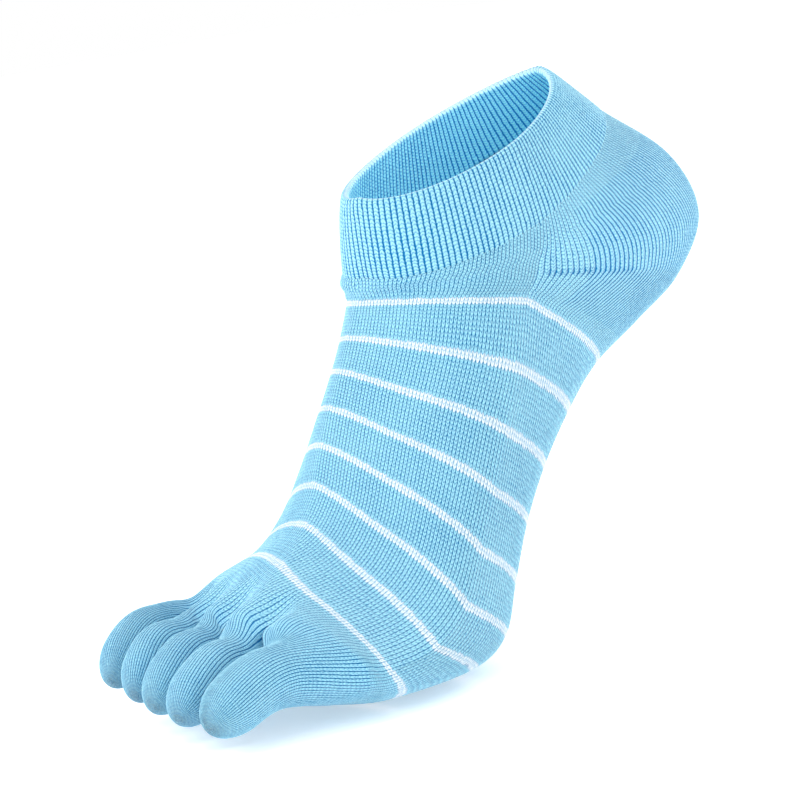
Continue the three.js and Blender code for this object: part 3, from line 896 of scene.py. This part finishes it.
def stitches(shader, lean, crease, groove_power, legs):
    """Height of the legs from 0 to 1, the course of each stitch, its way across and its place.
    a is 0 in the middle of a wale and 1 in the groove, w is the course plus lean * a, and the height is
    (1 - legs + legs * (1 - (2 fract(w) - 1)^2)) * (1 - a^power) * (1 - crease * (1 - a)^4)."""
    uv = shader.node("ShaderNodeUVMap", {"uv_map": "stitches"})
    wale, counted = [shader.node("ShaderNodeSeparateXYZ", None, [uv], output=k) for k in range(2)]
    position = shader.node("ShaderNodeTexCoord", None, None, output=3)
    wobble = shader.node("ShaderNodeTexNoise", None, {"Vector": position, **WOBBLE}) - 0.5
    across = (((wale + wobble * WALE_WOBBLE).fract() * 2) - 1).absolute()
    course = counted + across * lean + wobble * COURSE_WOBBLE
    leg = 1 - ((course.fract() * 2 - 1) ** 2)
    height = (leg * legs + (1 - legs)) * (1 - across**groove_power) * (1 - (1 - across) ** 4 * crease)
    return height, course, across, position


print("a stitch is up to", round(STITCH_BUMP / MM, 2), "mm high")

# %% [markdown]
# ## The line of small holes at the heel
# Where the short rows turn, the yarn leaves one small hole in each groove. Cut into the mesh they would
# need many faces for a tiny spot, so painted shade marks them as dark spots. Seen from the side their
# line is straight, so two dot products find it.

# %% The holes
HOLE_REACH = 1.2 * MM
HOLE_SHADE = 1.5
HOLE_STRETCH = (3 * MM, 40 * MM)
gore = {name: column[0, 0] for name, column in sections_at(np.array([GORE_POSITION])).items()}
HOLES_START = placed(0, gore["fold_ahead"], gore["fold_up"])[1:]
HOLES_END = placed(0, gore["sole_ahead"], gore["sole_up"])[1:]


def heel_holes(shader, across, position):
    """Painted shade for the holes, as dark spots in the grooves that cross the line of holes:
    (1 - distance / reach) * a^2. The ways along and off the line are dot products of y and z with its
    direction and with the direction across it."""
    way = (HOLES_END - HOLES_START) / np.linalg.norm(HOLES_END - HOLES_START)
    y, z = [shader.node("ShaderNodeSeparateXYZ", None, [position], output=k) for k in (1, 2)]
    back = y - float(HOLES_START[0])
    up = z - float(HOLES_START[1])
    along = back * float(way[0]) + up * float(way[1])
    off = (back * float(way[1]) - up * float(way[0])).absolute()
    near = (1 - off / HOLE_REACH).clamped()
    return near * (along > HOLE_STRETCH[0]) * (along < HOLE_STRETCH[1]) * across**2


print("line of holes", round(float(np.linalg.norm(HOLES_END - HOLES_START)) / MM, 1), "mm long")

# %% [markdown]
# ## The knit's colours and finishes
# All of the knit is dyed cotton in one blue. A stripe is two courses of white yarn, chosen stitch by
# stitch, so that its edges are toothed. Both yarns get painted shade in the hollows between the legs.
# The four finishes differ in how the stitches show, in their bump and in how deep that painted shade
# goes: dotted on the foot, as clear ribs on the cuff, and as fine grooves on the heel and the toes,
# where the knit is tight.
# The folded edge of the cuff gets a painted highlight: a paler band where its roll catches the light.
# Light from outside shines through the thin knit into the cuff. A path tracer could follow it through
# both layers, with much noise, so a weak glow of the inner side stands for it.

# %% The knit's material
# The first tone of each yarn is its colour on the lit legs. The second is painted shade in the hollows.
BLUE_LIGHT = (0.37, 0.76, 0.91, 1)
BLUE_SHADED = (0.0, 0.17, 0.43, 1)
WHITE_LIGHT = (0.86, 0.93, 0.98, 1)
WHITE_SHADED = (0.22, 0.48, 0.70, 1)
STRIPE_COURSES = 2
NO_LIGHT = (0, 0, 0, 1)
GLOW_TINT = (0.36, 0.9, 1.0, 1)
# The colour of the painted highlight on the cuff's rolled rim.
RIM_HIGHLIGHT = (0.70, 0.90, 0.97, 1)
RIM_COURSE = 24.0
RIM_REACH = 1.5
RIM_HIGHLIGHT_STRENGTH = 0.75
SHADE_POWER = 1.6
# The cloud noise makes the painted shade in the hollows deeper in some places than in others.
CLOUD = {"Scale": 60, "Detail": 3}
CLOUD_RANGE = 0.8
CLOUD_LEAST = 0.55
FIBRE = {"Scale": 2600, "Detail": 2}
FIBRE_SHADE = 0.9
BUMP = {"Strength": 0.9, "Distance": STITCH_BUMP}
YARN = {"Roughness": 0.9, "Specular IOR Level": 0.15, "Sheen Weight": 0.35, "Sheen Roughness": 0.4}


def knit_material(name, stripes, lean=0.7, crease=0.35, groove_power=4, legs=0.5, contrast=2.0, glow=0):
    """Yarn colour with painted shade = contrast * (1 - height)^power * cloud + fibre, white in the striped
    courses, a painted highlight at the rim's course, glowing past it, and a bump from the same height."""
    shader = Shader(name)
    height, course, across, position = stitches(shader, lean, crease, groove_power, legs)
    cloud = shader.node("ShaderNodeTexNoise", None, {"Vector": position, **CLOUD})
    fibre = shader.node("ShaderNodeTexNoise", None, {"Vector": position, **FIBRE})
    # Painted shade in the hollows between the legs, plus a fine fibre noise in the yarn's own tone.
    shade = (1 - height) ** SHADE_POWER * contrast * (cloud * CLOUD_RANGE + CLOUD_LEAST)
    shade = shade + (fibre - 0.5) * FIBRE_SHADE
    if stripes:
        shade = shade + heel_holes(shader, across, position) * HOLE_SHADE
    shade = shade.clamped()
    colour = shader.mix(shade, BLUE_LIGHT, BLUE_SHADED)
    if glow:
        # Painted highlight: a paler band around the rim's course, where the roll catches the light.
        edge = (1 - (course - RIM_COURSE).absolute() / RIM_REACH).clamped() * RIM_HIGHLIGHT_STRENGTH
        colour = shader.mix(edge, colour, RIM_HIGHLIGHT)
    if stripes:
        # The white stripes get the same painted shade in their hollows.
        white = shader.mix(shade, WHITE_LIGHT, WHITE_SHADED)
        last = COURSES_BETWEEN_STRIPES * (LAST_STRIPE - FIRST_STRIPE)
        lifted = course + STRIPE_COURSES / 2
        phase = (lifted / COURSES_BETWEEN_STRIPES).fract() * COURSES_BETWEEN_STRIPES
        inside = (lifted > 0) * (lifted < last + STRIPE_COURSES)
        colour = shader.mix((phase < STRIPE_COURSES) * inside, colour, white)
    bump = shader.node("ShaderNodeBump", None, {"Height": height, **BUMP})
    sockets = {"Base Color": colour, "Normal": bump, **YARN}
    if glow:
        through = shader.mix(1.0, colour, GLOW_TINT, "MULTIPLY")
        sockets["Emission Color"] = shader.mix((course > RIM_COURSE) * glow, NO_LIGHT, through)
        sockets["Emission Strength"] = 1.0
    return shader.finish(shader.node("ShaderNodeBsdfPrincipled", None, sockets))


plain_knit = knit_material("plain_knit", stripes=True)
cuff_knit = knit_material(
    "cuff_rib_knit",
    stripes=False,
    lean=0.5,
    crease=0.2,
    groove_power=3,
    legs=0.4,
    contrast=2.3,
    glow=0.44,
)
heel_knit = knit_material("heel_knit", stripes=True, groove_power=2.5, legs=0.25, contrast=2.6)
toe_knit = knit_material("toe_knit", stripes=False, groove_power=3, legs=0.3, contrast=2.7)

foot_tube.data.materials.append(plain_knit)
heel_pocket.data.materials.append(heel_knit)
cuff.data.materials.append(cuff_knit)
for piece in toes.values():
    piece.data.materials.append(toe_knit)
print("materials:", [material.name for material in bpy.data.materials if "knit" in material.name])

# %% [markdown]
# ## The studio
# The photo has a bright white ground and hardly any shadow. Large soft lamps from several sides and a
# white world give that: the key lamp is in front at the upper left, and the fill comes from the right.
# The floor gives off a little light of its own, which keeps it white right up to the sock. A picture
# of a studio could light the scene too, but single lamps can be moved until the shades match.
# The view transform is the plain one, because a film-like one would grey the ground.

# %% Floor, world and lamps
FLOOR_SIZE = 6.0
WORLD_COLOUR = (1, 1, 1, 1)
WORLD_STRENGTH = 1.0
FLOOR_DROP = 1 * MM
FLOOR_FINISH = {
    "Base Color": (0.95, 0.95, 0.95, 1),
    "Roughness": 0.9,
    "Emission Color": (1, 1, 1, 1),
    "Emission Strength": 0.38,
}
# Each lamp has a place and a size in metres, and a power in watts.
LAMPS = {
    "key": ((-0.9, -1.1, 1.2), 1.2, 22),
    "fill": ((1.4, -0.5, 0.7), 1.2, 3),
    "back": ((0.3, 1.4, 1.0), 1.0, 4),
}


def make_floor():
    """A large flat square just below the sock."""
    half_size = FLOOR_SIZE / 2
    corners = [(-1, -1), (1, -1), (1, 1), (-1, 1)]
    points = [(x * half_size, y * half_size, FLOOR - FLOOR_DROP) for x, y in corners]
    mesh = bpy.data.meshes.new("floor")
    mesh.from_pydata(points, [], [(0, 1, 2, 3)])
    floor = bpy.data.objects.new("floor", mesh)
    bpy.context.collection.objects.link(floor)
    shader = Shader("pale_floor")
    mesh.materials.append(shader.finish(shader.node("ShaderNodeBsdfPrincipled", None, FLOOR_FINISH)))


def make_lamp(name, place, size, power):
    """A square area lamp that looks at the middle of the sock."""
    light = bpy.data.lights.new(name, "AREA")
    light.size = size
    light.energy = power
    lamp = bpy.data.objects.new(name, light)
    lamp.location = place
    lamp.rotation_mode = "QUATERNION"
    lamp.rotation_quaternion = (CAMERA_TARGET - Vector(place)).to_track_quat("-Z", "Y")
    bpy.context.collection.objects.link(lamp)
    return lamp


world = bpy.data.worlds.new("white_room")
world.use_nodes = True
background = world.node_tree.nodes["Background"]
background.inputs["Color"].default_value = WORLD_COLOUR
background.inputs["Strength"].default_value = WORLD_STRENGTH
bpy.context.scene.world = world
bpy.context.scene.view_settings.view_transform = "Standard"
make_floor()
lamps = [make_lamp(name, *values) for name, values in LAMPS.items()]
print(len(lamps), "lamps:", [lamp.name for lamp in lamps])

# %% [markdown]
# ## Sizes beside the measured model
# A piece that looks right can still be too large, so the corners of its box are compared with those of
# its solid. Most differ by less than 1 mm, and the roots of the toes by up to 1.5 mm.

# %% Size of the pieces against the measured model
pieces = {"cuff": cuff, "foot_tube": foot_tube, "heel_pocket": heel_pocket, **toes}
for node, piece in pieces.items():
    low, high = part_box(node)
    corners = np.array([corner[:] for corner in piece.bound_box])
    off_low = np.round((corners.min(0) - np.array(low)) / MM, 1)
    off_high = np.round((corners.max(0) - np.array(high)) / MM, 1)
    print(node, "off by mm", off_low, off_high)

# %% [markdown]
# ## One body
# The sock has no joint, so all pieces ride on one body, the root. Each piece stands for the node of the
# model that has its zone of the knit.

# %% Every piece rides on the body and stands for its node
for node, piece in pieces.items():
    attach(piece, "root")
    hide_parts(node)
print(len(pieces), "pieces on the root")
